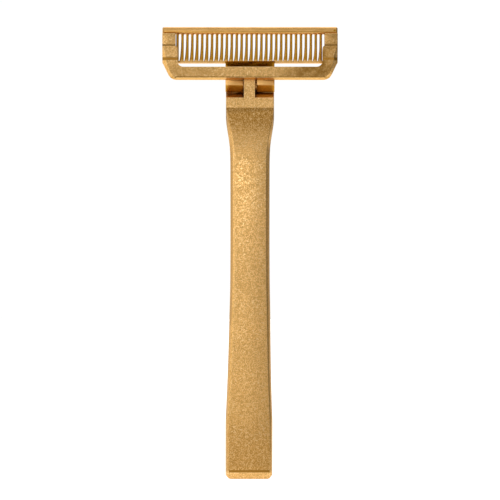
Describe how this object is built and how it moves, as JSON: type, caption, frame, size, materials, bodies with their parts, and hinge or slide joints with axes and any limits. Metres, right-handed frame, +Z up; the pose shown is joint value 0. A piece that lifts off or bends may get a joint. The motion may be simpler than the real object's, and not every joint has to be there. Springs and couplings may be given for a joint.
{
  "type": "single-edge safety razor",
  "caption": "Cast brass single-edge safety razor with a slotted comb guard, a U-shaped blade frame and a spring-loaded pivoting head on a tapered square handle.",
  "frame": {"origin": "centre of the flat foot face of the handle", "axes": "+Z up the handle towards the head, +X across the head, -Y towards the shaving side"},
  "size_m": [0.045, 0.0129, 0.1161],
  "materials": {
    "cast_brass": "raw tumbled casting, speckled satin",
    "machined_brass": "machined, satin",
    "screw_brass": "turned, satin",
    "pin_steel": "ground",
    "spring_steel": "rolled, tempered"
  },
  "bodies": {
    "grip": {"handle": "cast_brass", "hinge_pin": "pin_steel", "return_spring": "spring_steel", "spring_clamp": "machined_brass", "clamp_screws": "screw_brass"},
    "head": {"front_frame": "cast_brass", "comb_guard": "machined_brass", "blade_stop_left": "cast_brass", "blade_stop_right": "cast_brass", "hinge_bracket": "machined_brass", "head_screws": "screw_brass", "hinge_washers": "machined_brass", "blade_spring": "spring_steel", "blade_spring_rivets": "screw_brass"}
  },
  "joints": [
    {"name": "head_pivot", "type": "hinge", "parent": "grip", "child": "head", "pos_m": [0, -0.00213, 0.1013], "axis": [-1, 0, 0], "range_deg": [0, 24], "stiffness_Nm_per_rad": 0.03, "springref_deg": -11.46, "deforming": ["return_spring"]}
  ]
}
